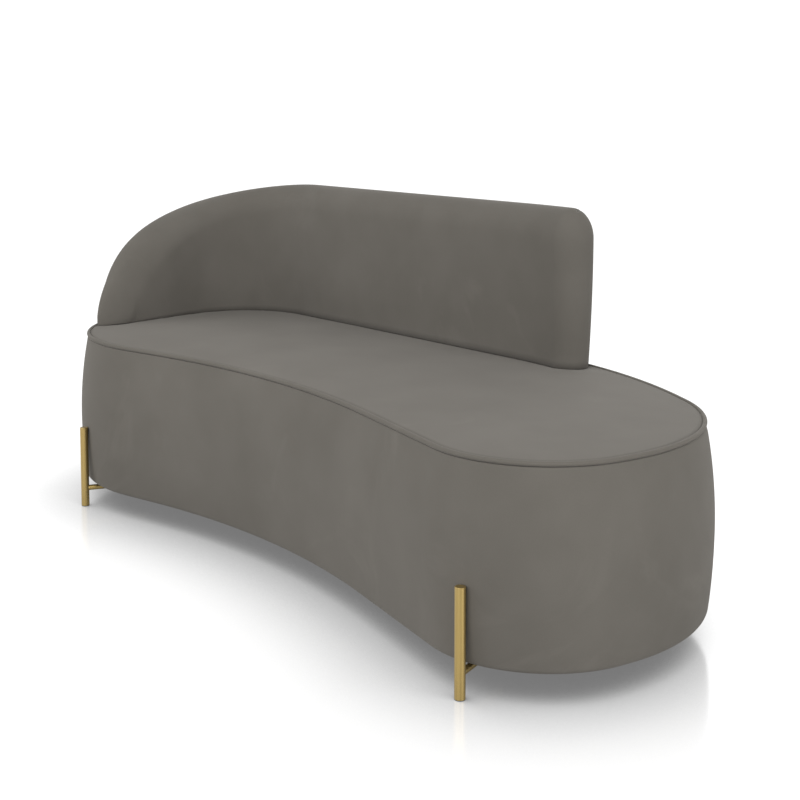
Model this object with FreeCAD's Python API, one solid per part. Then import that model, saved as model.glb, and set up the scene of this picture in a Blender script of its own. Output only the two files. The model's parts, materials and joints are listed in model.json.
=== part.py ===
import FreeCAD, Part
import math
import os
from FreeCAD import Vector

# Curved sofa: a kidney-shaped upholstered seat on four outboard tube legs, with a low curved backrest
# that is level along the back and falls away round the left end.
# Millimetres, floor at z = 0, front towards -Y, length along X.

# Plan of the seat: how far each side leans from the length or the depth, in degrees, the straight left
# in a side between its two corners, and the radius of each corner
LEFT_LEAN = 2.43
FRONT_LEFT_RISE = 12.51
FRONT_RIGHT_FALL = 13.00
RIGHT_LEAN = 6.98
SHOULDER_LEAN = 25.75
LEFT_STRAIGHT = 14.1
FRONT_LEFT_STRAIGHT = 90.6
RIGHT_STRAIGHT = 22.3
SHOULDER_STRAIGHT = 35.0
FRONT_LEFT_RADIUS = 362.0
FRONT_WAIST_RADIUS = 1769.0
FRONT_RIGHT_RADIUS = 211.0
SIDE_RIGHT_RADIUS = 394.0
BACK_RIGHT_RADIUS = 1160.0
BACK_LEFT_RADIUS = 318.0

# Seat body
WELT_HEIGHT = 401.5
WELT_DIAMETER = 9.0
WELT_CORD_DIAMETER = 6.0
WELT_SIDES = 10
BELLY = 21.0
BELLY_HEIGHT = 206.0
SIDE_TUCK = 9.5
UNDER_RADIUS = 10.0
CROWN = 6.0
CROWN_WIDTH = 140.0
FABRIC = 1.5
SIDE_TURN_UNDER = 24.0

# Seat frame
PANEL_THICKNESS = 15.0
RING_THICKNESS = 18.0
RING_WIDTH = 96.0
EDGE_PADDING = 12.0
SEAT_FOAM = 84.0
SKIN_THICKNESS = 3.0
POST_SIZE = 45.0
POST_COUNT = 18
FIRST_POST = 62.0
WEBBING_THICKNESS = 1.5
WEBBING_WIDTH = 60.0
WEBBING_PITCH = 105.0
LINING_THICKNESS = 1.0
LINING_LAP = 12.0

# Backrest
BACK_HEIGHT = 749.0
BACK_INSET = 48.0
BACK_FOOT_HALF = 41.0
BACK_HALF = 49.0
BACK_ROLL = 66.0
BACK_END_TURN = 8.4
ARM_WRAP = 32.0
ARM_NOSE = 88.0
FALL_POWER = 1.55
FALL_ROOT = 2.75
SEAM_FROM_RIDGE = 20.0
LOFT_STEP = 45.0

# Backrest frame
UPRIGHT_COUNT = 6
UPRIGHT_DEPTH = 22.0
UPRIGHT_WIDTH = 45.0
RIB_WIDTH = 38.0
RIB_THICKNESS = 18.0
BOARD_THICKNESS = 3.0
FORM_GAP = 1.4
OUTSIDE_PADDING = 12.0
END_PADDING = 30.0
TOP_PADDING = 46.0
FRAME_SETBACK = 9.0
BOLT_DIAMETER = 8.0
BOLT_HEAD_ACROSS = 13.0
BOLT_HEAD_HEIGHT = 5.3
WASHER_DIAMETER = 20.0
WASHER_THICKNESS = 1.6
TEE_NUT_DIAMETER = 20.0
TEE_NUT_FLANGE = 1.4
TEE_NUT_BARREL = 10.0
BOLT_LOW = 60.0
BOLT_APART = 110.0

# Sides of the plain bars that stand for bolts, nuts, washers and screws
FASTENER_SIDES = 10

# Legs
LEG_HEIGHT = 192.0
LEG_DIAMETER = 19.0
LEG_WALL = 1.5
LEG_GAP = 1.0
LEG_DISC = 2.0
STRUT_HEIGHT = 43.5
STRUT_DIAMETER = 12.7
STRUT_WALL = 1.5
STRUT_FLAT = 0.7
PLATE_THICKNESS = 3.0
PLATE_LENGTH = 84.0
PLATE_WIDTH = 60.0
PLATE_MARGIN = 11.0
GLIDE_HEAD = 1.5
GLIDE_SHANK = 14.0
SCREW_DIAMETER = 4.8
SCREW_HEAD_DIAMETER = 9.5
SCREW_HEAD_HEIGHT = 3.0
STRUT_TOE = 8.0
LEG_FRONT_LEFT_TURN = 81.3
LEG_FRONT_RIGHT_TURN = 25.4
LEG_REAR_RIGHT_TURN = 3.6
LEG_REAR_LEFT_TURN = 14.9

# Fits
SLIP = 0.3
SNUG = 0.05

UP = Vector(0, 0, 1)
ORIGIN = Vector(0, 0, 0)

# Heights and edges that follow from the sizes above
plate_bottom = STRUT_HEIGHT + STRUT_DIAMETER / 2 - STRUT_FLAT
lining_bottom = plate_bottom + PLATE_THICKNESS
underside = lining_bottom + LINING_THICKNESS
panel_bottom = underside + FABRIC
panel_top = panel_bottom + PANEL_THICKNESS
welt_radius = WELT_DIAMETER / 2
seat_top = WELT_HEIGHT + CROWN
deck = seat_top - FABRIC - SEAT_FOAM
ring_top = deck - WEBBING_THICKNESS
ring_bottom = ring_top - RING_THICKNESS
back_foot = WELT_HEIGHT + 3.0
leg_reach = BELLY + LEG_DIAMETER / 2 + LEG_GAP


# Plan outline
class Bend:
    """One rounded corner of the plan: side is +1 on an outer corner and -1 on the hollow waist."""

    def __init__(self, corner, arriving, leaving, radius):
        self.turn = turn_between(arriving, leaving)
        self.side = math.copysign(1.0, self.turn)
        self.radius = radius
        self.start = arriving - self.side * math.pi / 2
        self.end = self.start + self.turn
        first = corner - heading(arriving) * reach_of(self.turn, radius)
        self.centre = first - heading(self.start) * radius

    def at(self, angle, offset):
        reach = self.radius + self.side * offset
        return self.centre + heading(angle) * reach

    def outward(self, angle):
        return angle if self.side > 0 else angle + math.pi


def heading(angle):
    return Vector(math.cos(angle), math.sin(angle), 0)


def turn_between(arriving, leaving):
    return math.remainder(leaving - arriving, 2 * math.pi)


def reach_of(turn, radius):
    """Length that a rounded corner takes from each of its two sides."""
    return radius * math.tan(abs(turn) / 2)


def plan_bends():
    """The six corners: the front's right side and the back get the lengths that close the plan."""
    leans = [-90 - LEFT_LEAN, FRONT_LEFT_RISE, -FRONT_RIGHT_FALL, 90 - RIGHT_LEAN, 180 - SHOULDER_LEAN, 180]
    ways = [math.radians(lean) for lean in leans]
    straights = [LEFT_STRAIGHT, FRONT_LEFT_STRAIGHT, 0.0, RIGHT_STRAIGHT, SHOULDER_STRAIGHT, 0.0]
    radii = [FRONT_LEFT_RADIUS, FRONT_WAIST_RADIUS, FRONT_RIGHT_RADIUS,
             SIDE_RIGHT_RADIUS, BACK_RIGHT_RADIUS, BACK_LEFT_RADIUS]
    leaving = ways[1:] + ways[:1]
    reaches = [reach_of(turn_between(a, b), r) for a, b, r in zip(ways, leaving, radii)]
    lengths = [reaches[i - 1] + straights[i] + reaches[i] for i in range(len(ways))]
    gap = Vector(0, 0, 0)
    for way, length in zip(ways, lengths):
        gap = gap - heading(way) * length
    front, back = heading(ways[2]), heading(ways[5])
    cross = front.x * back.y - front.y * back.x
    lengths[2] += (gap.x * back.y - gap.y * back.x) / cross
    lengths[5] += (front.x * gap.y - front.y * gap.x) / cross
    corner = Vector(0, 0, 0)
    bends = []
    for way, onward, length, radius in zip(ways, leaving, lengths, radii):
        corner = corner + heading(way) * length
        bends.append(Bend(corner, way, onward, radius))
    return bends


bends = plan_bends()
front_left, waist, front_right, side_right, back_right, back_left = bends

# A leg stands outside the belly, at a turn from the start of its corner
leg_places = {
    "front_left": (front_left, front_left.start + math.radians(LEG_FRONT_LEFT_TURN)),
    "front_right": (front_right, front_right.start + math.radians(LEG_FRONT_RIGHT_TURN)),
    "rear_right": (back_right, back_right.start + math.radians(LEG_REAR_RIGHT_TURN)),
    "rear_left": (back_left, back_left.start + math.radians(LEG_REAR_LEFT_TURN)),
}

# The struts run in under the base turned a little towards the sofa's middle
strut_turns = {
    "front_left": -STRUT_TOE,
    "front_right": STRUT_TOE,
    "rear_right": -STRUT_TOE,
    "rear_left": STRUT_TOE,
}


def outline(offset, z):
    """Closed wire of the plan, moved outward by an offset."""
    edges = []
    for bend, following in zip(bends, bends[1:] + bends[:1]):
        first = bend.at(bend.start, offset)
        middle = bend.at(bend.start + bend.turn / 2, offset)
        last = bend.at(bend.end, offset)
        edges.append(Part.Arc(first, middle, last).toShape())
        edges.append(Part.makeLine(last, following.at(following.start, offset)))
    wire = Part.Wire(edges)
    wire.translate(UP * z)
    return wire


# The plan is moved so that the whole sofa is centred on the origin
def centre_of_plan():
    box = outline(BELLY, 0).optimalBoundingBox(False, False)
    for bend, angle in leg_places.values():
        foot = Part.makeCircle(LEG_DIAMETER / 2, bend.at(angle, leg_reach))
        box.add(foot.optimalBoundingBox(False, False))
    return Vector(box.Center.x, box.Center.y, 0)


middle_of_plan = centre_of_plan()
for corner in bends:
    corner.centre = corner.centre - middle_of_plan


def slab(offset, bottom, top):
    return Part.Face(outline(offset, bottom)).extrude(UP * (top - bottom))


def placed(shape, point, angle):
    """Copy of a shape drawn with +X outward, set at a plan point and turned to face outward."""
    copy = shape.copy()
    copy.rotate(ORIGIN, UP, math.degrees(angle))
    copy.translate(point)
    return copy


def joined(pieces):
    if len(pieces) == 1:
        return pieces[0]
    whole = pieces[0].multiFuse(pieces[1:]).removeSplitter()
    return whole.Solids[0] if len(whole.Solids) == 1 else whole


def run_round(section):
    """Carry a section, drawn as outward distance and height, all round the plan."""
    pieces = []
    for bend, following in zip(bends, bends[1:] + bends[:1]):
        first = placed(section, bend.at(bend.start, 0), bend.outward(bend.start))
        pieces.append(first.revolve(bend.centre, UP, math.degrees(bend.turn)))
        last = placed(section, bend.at(bend.end, 0), bend.outward(bend.end))
        pieces.append(last.extrude(following.at(following.start, 0) - bend.at(bend.end, 0)))
    return joined(pieces)


# Drawing of sections: x is outward, z is up
def spot(x, z):
    return Vector(x, 0, z)


def line(a, b):
    return Part.makeLine(a, b)


def arc(centre, radius, first, last):
    points = []
    for angle in (first, (first + last) / 2, last):
        points.append(centre + spot(radius * math.cos(angle), radius * math.sin(angle)))
    return Part.Arc(*points).toShape()


def region(edges):
    return Part.Face(Part.Wire(edges))


def polygon(*points):
    return Part.Face(Part.makePolygon(list(points) + [points[0]]))


# Side of the seat: one long arc from the welt to the belly, one below it, then a tight arc to the underside
shoulder = 0.4 * welt_radius
shoulder_drop = math.sqrt(welt_radius ** 2 - shoulder ** 2)
side_rise = WELT_HEIGHT - shoulder_drop - BELLY_HEIGHT
side_radius = ((BELLY - shoulder) ** 2 + side_rise ** 2) / (2 * (BELLY - shoulder))
side_centre = spot(BELLY - side_radius, BELLY_HEIGHT)
side_fall = BELLY_HEIGHT - underside
lower_radius = (SIDE_TUCK ** 2 + side_fall ** 2) / (2 * SIDE_TUCK)
lower_centre = spot(BELLY - lower_radius, BELLY_HEIGHT)
under_z = underside + UNDER_RADIUS
under_run = math.sqrt((lower_radius - UNDER_RADIUS) ** 2 - (under_z - BELLY_HEIGHT) ** 2)
under_centre = spot(lower_centre.x + under_run, under_z)
under_angle = math.atan2(under_z - BELLY_HEIGHT, under_run)
skin_face = under_centre.x - EDGE_PADDING
frame_edge = skin_face - SKIN_THICKNESS


def side_angle(z, inset):
    return math.asin((z - BELLY_HEIGHT) / (side_radius - inset))


def side_x(z, inset):
    return side_centre.x + (side_radius - inset) * math.cos(side_angle(z, inset))


def side_edges(z, inset):
    """The side from a height down to the flat underside, set in by an inset."""
    upper_arc = arc(side_centre, side_radius - inset, side_angle(z, inset), 0)
    lower_arc = arc(lower_centre, lower_radius - inset, 0, under_angle)
    under_arc = arc(under_centre, UNDER_RADIUS - inset, under_angle, -math.pi / 2)
    return [upper_arc, lower_arc, under_arc]


# Crown of the seat: an arc that leaves the welt and is level at the crown's width
edge_out = 0.7 * welt_radius
crown_reach = CROWN_WIDTH - edge_out
crown_rise = CROWN - math.sqrt(welt_radius ** 2 - edge_out ** 2)
crown_radius = (crown_reach ** 2 + crown_rise ** 2) / (2 * crown_rise)
crown_centre = spot(-CROWN_WIDTH, seat_top - crown_radius)


def crown_edge(inset):
    reach = crown_radius - inset
    start = math.acos(crown_reach / reach)
    return arc(crown_centre, reach, start, math.pi / 2)


welt_spot = spot(0, WELT_HEIGHT)


def many_sided(count, diameter, centre):
    """Flat many-sided disc standing in the section's plane."""
    points = []
    for i in range(count):
        angle = 2 * math.pi * (i + 0.5) / count
        points.append(centre + spot(math.cos(angle), math.sin(angle)) * (diameter / 2))
    return polygon(*points)


welt_disc = many_sided(WELT_SIDES, WELT_DIAMETER, welt_spot)
cord_disc = many_sided(WELT_SIDES, WELT_CORD_DIAMETER, welt_spot)


def side_cover_section():
    outer = side_edges(WELT_HEIGHT, 0)
    inner = side_edges(WELT_HEIGHT, FABRIC)
    tail = under_centre.x - SIDE_TURN_UNDER
    edges = outer + inner
    brow_in = spot(side_x(WELT_HEIGHT, FABRIC), WELT_HEIGHT)
    brow_out = spot(side_x(WELT_HEIGHT, 0), WELT_HEIGHT)
    edges.append(line(brow_in, brow_out))
    edges.append(line(spot(under_centre.x, underside), spot(tail, underside)))
    edges.append(line(spot(tail, underside), spot(tail, panel_bottom)))
    edges.append(line(spot(tail, panel_bottom), spot(under_centre.x, panel_bottom)))
    return region(Part.__sortEdges__(edges)).cut(welt_disc).Faces[0]


def side_foam_section():
    edges = side_edges(deck, FABRIC)
    edges.append(line(spot(under_centre.x, panel_bottom), spot(skin_face, panel_bottom)))
    edges.append(line(spot(skin_face, panel_bottom), spot(skin_face, deck)))
    edges.append(line(spot(skin_face, deck), spot(side_x(deck, FABRIC), deck)))
    return region(Part.__sortEdges__(edges))


def seat_cover_section():
    upper = crown_edge(0)
    lower = crown_edge(FABRIC)
    edges = [upper, lower]
    edges.append(line(spot(-CROWN_WIDTH, seat_top), spot(-CROWN_WIDTH, seat_top - FABRIC)))
    edges.append(line(upper.Vertexes[0].Point, lower.Vertexes[0].Point))
    return region(Part.__sortEdges__(edges)).cut(welt_disc).Faces[0]


def seat_foam_section():
    top = crown_edge(FABRIC)
    corner = top.Vertexes[0].Point
    brow = side_x(WELT_HEIGHT, FABRIC)
    rim = arc(side_centre, side_radius - FABRIC, side_angle(deck, FABRIC), side_angle(WELT_HEIGHT, FABRIC))
    edges = [rim, top]
    edges.append(line(spot(brow, WELT_HEIGHT), corner))
    edges.append(line(spot(-CROWN_WIDTH, seat_top - FABRIC), spot(-CROWN_WIDTH, deck)))
    edges.append(line(spot(-CROWN_WIDTH, deck), spot(side_x(deck, FABRIC), deck)))
    return region(Part.__sortEdges__(edges)).cut(welt_disc).Faces[0]


# Line of the backrest: from its right end along the back and round the left end, then on round the front
class Line:
    """A straight run between two bends, measured along the backrest's middle line."""

    def __init__(self, bend, following):
        self.angle = bend.outward(bend.end)
        self.first = bend.at(bend.end, 0)
        self.last = following.at(following.start, 0)
        self.length = (self.last - self.first).Length

    def place(self, run):
        return self.first + (self.last - self.first) * (run / self.length), self.angle


class Curve:
    """A bend, or a part of one, measured along the backrest's middle line."""

    def __init__(self, bend, first, last):
        self.bend = bend
        self.first = first
        self.reach = bend.radius - bend.side * BACK_INSET
        self.length = abs(last - first) * self.reach

    def place(self, run):
        angle = self.first + self.bend.side * run / self.reach
        return self.bend.at(angle, 0), self.bend.outward(angle)


right_end_angle = back_right.end - math.radians(BACK_END_TURN)


def middle_line():
    runs = [Curve(back_right, right_end_angle, back_right.end), Line(back_right, back_left)]
    order = [back_left, front_left, waist, front_right, side_right]
    for bend, following in zip(order, order[1:] + [back_right]):
        runs.append(Curve(bend, bend.start, bend.end))
        runs.append(Line(bend, following))
    runs.append(Curve(back_right, back_right.start, right_end_angle))
    return runs


runs = middle_line()
loop_length = sum(run.length for run in runs)
fall_start = runs[0].length + runs[1].length
arm_corner = fall_start + runs[2].length + runs[3].length
arm_nose = arm_corner + math.radians(ARM_WRAP) * (front_left.radius - BACK_INSET)
arm_tip = arm_nose + ARM_NOSE
arm_length = arm_tip - fall_start
level_stop = fall_start - 2 * LOFT_STEP


def locate(station):
    """Welt point and outward angle at a distance along the middle line."""
    for run in runs:
        if station <= run.length:
            return run.place(station)
        station -= run.length
    return runs[-1].place(runs[-1].length)


def stand(shape, station):
    """Copy of a shape drawn with +X outward from the welt, set at a station."""
    point, angle = locate(station)
    return placed(shape, point, angle)


def ridge(station):
    """Height of the backrest: level, then falling ever faster to the seat at the arm's tip."""
    fall = max(0.0, station - fall_start) / arm_length
    left = max(0.0, 1 - fall ** FALL_POWER)
    return back_foot + (BACK_HEIGHT - back_foot) * left ** (1 / FALL_ROOT)


def ridge_slope(station):
    fall = max(0.0, station - fall_start) / arm_length
    steep = (BACK_HEIGHT - back_foot) / arm_length * FALL_POWER / FALL_ROOT
    return steep * fall ** (FALL_POWER - 1) * (1 - fall ** FALL_POWER) ** (1 / FALL_ROOT - 1)


def narrowing(station):
    """Share of the full width left at a station: less than one only round the arm's nose."""
    past = max(0.0, station - arm_nose) / ARM_NOSE
    return math.sqrt(max(0.0, 1 - past ** 2))


def back_middle(station):
    """Middle of the backrest, outward from the welt: round the nose the outer side keeps its line."""
    return -BACK_INSET + BACK_FOOT_HALF * (1 - narrowing(station))


def quarter(side, corner, top):
    curve = Part.BezierCurve()
    curve.setPoles([side, corner, top])
    curve.setWeight(2, math.sqrt(0.5))
    return curve.toShape()


def flank(x_foot, x_side, height, roll):
    """One side of the backrest, drawn in at its foot and rolled over at the ridge."""
    rise = height - roll
    swell = abs(x_side) - abs(x_foot)
    radius = (rise ** 2 + swell ** 2) / (2 * swell)
    half = math.asin(rise / radius) / 2
    sign = math.copysign(1.0, x_side)
    centre = x_side - sign * radius
    middle = spot(centre + sign * radius * math.cos(half), rise - radius * math.sin(half))
    low = Part.Arc(spot(x_foot, 0), middle, spot(x_side, rise)).toShape()
    high = quarter(spot(x_side, rise), spot(x_side, height), spot(0, height))
    return [low, high]


def back_sizes(station, inset):
    width = narrowing(station)
    height = ridge(station) - back_foot - inset
    foot = BACK_FOOT_HALF * width - inset
    side = BACK_HALF * width - inset
    roll = (BACK_ROLL - inset) * math.sqrt(1 + ridge_slope(station) ** 2)
    return foot, side, height, min(roll, 0.8 * height)


def back_wire(station, inset):
    """Cross-section of the backrest at a station, standing in its place."""
    foot, side, height, roll = back_sizes(station, inset)
    edges = [line(spot(-foot, 0), spot(foot, 0))]
    low, high = flank(foot, side, height, roll)
    edges += [low, high]
    low, high = flank(-foot, -side, height, roll)
    edges += [high, low]
    wire = Part.Wire(Part.__sortEdges__(edges))
    wire.translate(spot(back_middle(station), back_foot))
    return stand(wire, station)


def core_wire(station, x_in, x_out, bottom, padding):
    """Upright rectangle inside the backrest, its top a set depth below the ridge."""
    top = ridge(station) - padding
    wire = Part.makePolygon([spot(x_in, bottom), spot(x_out, bottom), spot(x_out, top),
                             spot(x_in, top), spot(x_in, bottom)])
    return stand(wire, station)


def fall_stations(stop):
    """Sections from the level part down the arm, closer together where the arm is steep."""
    count = int((stop - level_stop) / LOFT_STEP) + 1
    return [level_stop + (stop - level_stop) * i / count for i in range(count + 1)]


def along_back(wire_at, first, stop):
    """Solid along the level part of the backrest, then lofted down the arm to a station."""
    pieces = []
    low = wire_at(first)
    turn = math.degrees((runs[0].length - first) / runs[0].reach)
    pieces.append(Part.Face(low).revolve(back_right.centre, UP, turn))
    straight = wire_at(runs[0].length)
    travel = locate(level_stop)[0] - locate(runs[0].length)[0]
    pieces.append(Part.Face(straight).extrude(travel))
    pieces.append(Part.makeLoft([wire_at(s) for s in stop], True, False))
    return pieces


def back_form(inset):
    """The whole backrest, set in by an inset: rounded right end, level back, falling arm and its nose."""
    def wire_at(station):
        return back_wire(station, inset)

    nose = [arm_nose + (ARM_NOSE - inset) * share for share in (0.3, 0.55, 0.74, 0.87, 0.95)]
    pieces = along_back(wire_at, 0.0, fall_stations(arm_nose) + nose)
    foot, side, height, roll = back_sizes(0.0, inset)
    low, high = flank(-foot, -side, height, roll)
    edges = [low, high, line(spot(0, 0), spot(-foot, 0)), line(spot(0, height), spot(0, 0))]
    half = region(Part.__sortEdges__(edges))
    half.translate(spot(-BACK_INSET, back_foot))
    axis = back_right.at(right_end_angle, -BACK_INSET)
    pieces.append(stand(half, 0.0).revolve(axis, UP, 180))
    return joined(pieces)


def ribbon(x_in, x_out, first, last, bottom, top):
    """Flat curved piece between two outward distances, from one station to another."""
    edges = []
    travelled = 0.0
    for run in runs:
        start = max(first - travelled, 0.0)
        stop = min(last - travelled, run.length)
        if start < stop:
            for x in (x_in, x_out):
                points = []
                for at in (start, (start + stop) / 2, stop):
                    point, angle = run.place(at)
                    points.append(point + Vector(x * math.cos(angle), x * math.sin(angle), 0))
                if isinstance(run, Curve):
                    edges.append(Part.Arc(*points).toShape())
                else:
                    edges.append(line(points[0], points[2]))
        travelled += run.length
    for station in (first, last):
        edges.append(stand(line(spot(x_in, 0), spot(x_out, 0)), station))
    face = Part.Face(Part.Wire(Part.__sortEdges__(edges)))
    face.translate(UP * bottom)
    return face.extrude(UP * (top - bottom))


def footprint(grow, bottom, top):
    """Plan of the backrest's foot, rounded at both ends, as an upright block."""
    half = BACK_FOOT_HALF + grow
    outer = -BACK_INSET + half
    pieces = [ribbon(outer - 2 * half, outer, 0.0, arm_nose, bottom, top)]
    axis = back_right.at(right_end_angle, -BACK_INSET)
    pieces.append(Part.makeCylinder(half, top - bottom, axis + UP * bottom))
    inner_line = []
    outer_line = []
    for share in (0.0, 0.3, 0.55, 0.74, 0.87, 0.95, 1.0):
        point, angle = locate(arm_nose + (ARM_NOSE + grow) * share)
        away = Vector(math.cos(angle), math.sin(angle), 0)
        inner_line.append(point + away * (outer - 2 * half * math.sqrt(1 - share ** 2)))
        outer_line.append(point + away * outer)
    curve = Part.BSplineCurve()
    curve.interpolate(inner_line)
    rim = Part.Arc(outer_line[0], outer_line[2], outer_line[-1]).toShape()
    face = Part.Face(Part.Wire([curve.toShape(), rim, line(outer_line[0], inner_line[0])]))
    face.translate(UP * bottom)
    pieces.append(face.extrude(UP * (top - bottom)))
    return joined(pieces)


def block(x_in, x_out, width, bottom, top):
    return Part.makeBox(x_out - x_in, width, top - bottom, Vector(x_in, -width / 2, bottom))


def rod(diameter, x_in, x_out, z):
    """Round bar lying along the outward direction."""
    return Part.makeCylinder(diameter / 2, x_out - x_in, spot(x_in, z), Vector(1, 0, 0))


def ring_points(count, diameter, centre, first, second):
    """Corners of an even many-sided ring in the plane of two directions."""
    points = []
    for i in range(count):
        angle = 2 * math.pi * i / count
        points.append(centre + (first * math.cos(angle) + second * math.sin(angle)) * (diameter / 2))
    return points


def pin(diameter, x_in, x_out, z):
    """Plain many-sided bar of a fastener, or its hole, lying along the outward direction."""
    points = ring_points(FASTENER_SIDES, diameter, spot(x_in, z), Vector(0, 1, 0), UP)
    return polygon(*points).extrude(spot(x_out - x_in, 0))


def stud(diameter, at, bottom, top):
    """Plain many-sided bar of a fastener, or its hole, standing upright."""
    points = ring_points(FASTENER_SIDES, diameter, at + UP * bottom, Vector(1, 0, 0), Vector(0, 1, 0))
    return polygon(*points).extrude(UP * (top - bottom))


# Frame positions inside the backrest, all measured outward from the welt
rib_out = -BACK_INSET + BACK_FOOT_HALF - OUTSIDE_PADDING
rib_in = rib_out - RIB_WIDTH
upright_in = rib_in
upright_out = upright_in + UPRIGHT_DEPTH
board_out = rib_in - FORM_GAP
board_in = board_out - BOARD_THICKNESS
core_in = board_in - FORM_GAP
core_out = rib_out + FORM_GAP
post_in = upright_in - POST_SIZE
plain_post_out = frame_edge - 5.0
rib_bottom = seat_top + SLIP
bolt_heights = [panel_top + BOLT_LOW, panel_top + BOLT_LOW + BOLT_APART]
post_pitch = loop_length / POST_COUNT
post_stations = [FIRST_POST + post_pitch * i for i in range(POST_COUNT)]
upright_stations = post_stations[:UPRIGHT_COUNT]


def rib_end(height):
    """Last station where the ridge is still above a height."""
    share = (height - back_foot) / (BACK_HEIGHT - back_foot)
    return fall_start + arm_length * (1 - share ** FALL_ROOT) ** (1 / FALL_POWER)


frame_last = min(rib_end(rib_bottom + 2 * TOP_PADDING), arm_nose - END_PADDING)


def upright(station, slip):
    """Upright timber of the backrest, enlarged by a slip when it is used to cut its slot."""
    top = ridge(station + UPRIGHT_WIDTH / 2) - TOP_PADDING - FRAME_SETBACK
    blank = block(upright_in - slip, upright_out + slip, UPRIGHT_WIDTH + 2 * slip, panel_top, top + slip)
    return stand(blank, station)


def bolt_holes(station, diameter):
    holes = []
    for z in bolt_heights:
        holes.append(stand(pin(diameter, post_in - 1, upright_out + 1, z), station))
    return holes


def build_frame():
    upright_slots = [upright(s, SLIP) for s in upright_stations]
    slots = Part.makeCompound(upright_slots)

    uprights = []
    posts = []
    bolts = []
    washers = []
    tee_nuts = []
    for s in upright_stations:
        holes = bolt_holes(s, BOLT_DIAMETER + 2 * SNUG)
        barrels = []
        for z in bolt_heights:
            barrel = pin(TEE_NUT_BARREL + 2 * SNUG, upright_out - TEE_NUT_BARREL, upright_out + 1, z)
            barrels.append(stand(barrel, s))
        uprights.append(upright(s, 0).cut(holes + barrels))
        post = stand(block(post_in, upright_in, POST_SIZE, panel_top, ring_bottom), s)
        posts.append(post.cut(holes))
        for z in bolt_heights:
            washer = pin(WASHER_DIAMETER, post_in - WASHER_THICKNESS, post_in, z)
            washer = washer.cut(pin(BOLT_DIAMETER + 2 * SNUG, post_in - 5, post_in + 5, z))
            washers.append(stand(washer, s))
            head_face = post_in - WASHER_THICKNESS
            shank = pin(BOLT_DIAMETER, head_face, upright_out, z)
            across_corners = 2 * BOLT_HEAD_ACROSS / math.sqrt(3)
            hexagon = ring_points(6, across_corners, spot(head_face, z), Vector(0, 1, 0), UP)
            head = polygon(*hexagon).extrude(spot(-BOLT_HEAD_HEIGHT, 0))
            bolts.append(stand(joined([shank, head]), s))
            flange = pin(TEE_NUT_DIAMETER, upright_out, upright_out + TEE_NUT_FLANGE, z)
            barrel = pin(TEE_NUT_BARREL, upright_out - TEE_NUT_BARREL, upright_out, z)
            bore = pin(BOLT_DIAMETER + 2 * SNUG, upright_out - 20, upright_out + 20, z)
            tee_nuts.append(stand(joined([flange, barrel]).cut(bore), s))
    plain_post = block(plain_post_out - POST_SIZE, plain_post_out, POST_SIZE, panel_top, ring_bottom)
    for s in post_stations[UPRIGHT_COUNT:]:
        posts.append(stand(plain_post, s))

    ring = slab(frame_edge, ring_bottom, ring_top).cut(slab(frame_edge - RING_WIDTH, ring_bottom, ring_top))
    skin = slab(skin_face, panel_bottom, ring_top).cut(slab(frame_edge, panel_bottom, ring_top))

    rib_levels = {"low": rib_bottom, "middle": 0, "top": 0}
    rib_levels["top"] = BACK_HEIGHT - TOP_PADDING - FRAME_SETBACK - RIB_THICKNESS
    rib_levels["middle"] = (rib_levels["low"] + rib_levels["top"]) / 2
    for name, z in rib_levels.items():
        last = min(frame_last, rib_end(z + RIB_THICKNESS + TOP_PADDING))
        rib = ribbon(rib_in, rib_out, 0.0, last, z, z + RIB_THICKNESS)
        nodes["back_rib_" + name] = rib.cut(slots)

    board = along_back(lambda s: core_wire(s, board_in, board_out, rib_bottom, TOP_PADDING + FRAME_SETBACK),
                       0.0, fall_stations(frame_last))
    nodes["back_board"] = joined(board)
    nodes["back_uprights"] = Part.makeCompound(uprights)
    nodes["back_bolts"] = Part.makeCompound(bolts)
    nodes["back_washers"] = Part.makeCompound(washers)
    nodes["back_tee_nuts"] = Part.makeCompound(tee_nuts)
    nodes["base_posts"] = Part.makeCompound(posts)
    nodes["base_top_ring"] = ring.cut(slots)
    nodes["base_side_skin"] = skin
    return slots


def build_webbing():
    inside = slab(board_in - 6.0, ring_top, deck)
    box = inside.BoundBox
    count = int((box.XLength - 2 * FRONT_RIGHT_RADIUS) / WEBBING_PITCH)
    straps = []
    for i in range(count):
        x = box.Center.x + (i - (count - 1) / 2) * WEBBING_PITCH
        strap = Part.makeBox(WEBBING_WIDTH, box.YLength, deck - ring_top,
                             Vector(x - WEBBING_WIDTH / 2, box.YMin, ring_top))
        straps.append(strap.common(inside))
    nodes["seat_webbing"] = Part.makeCompound(straps)


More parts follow.
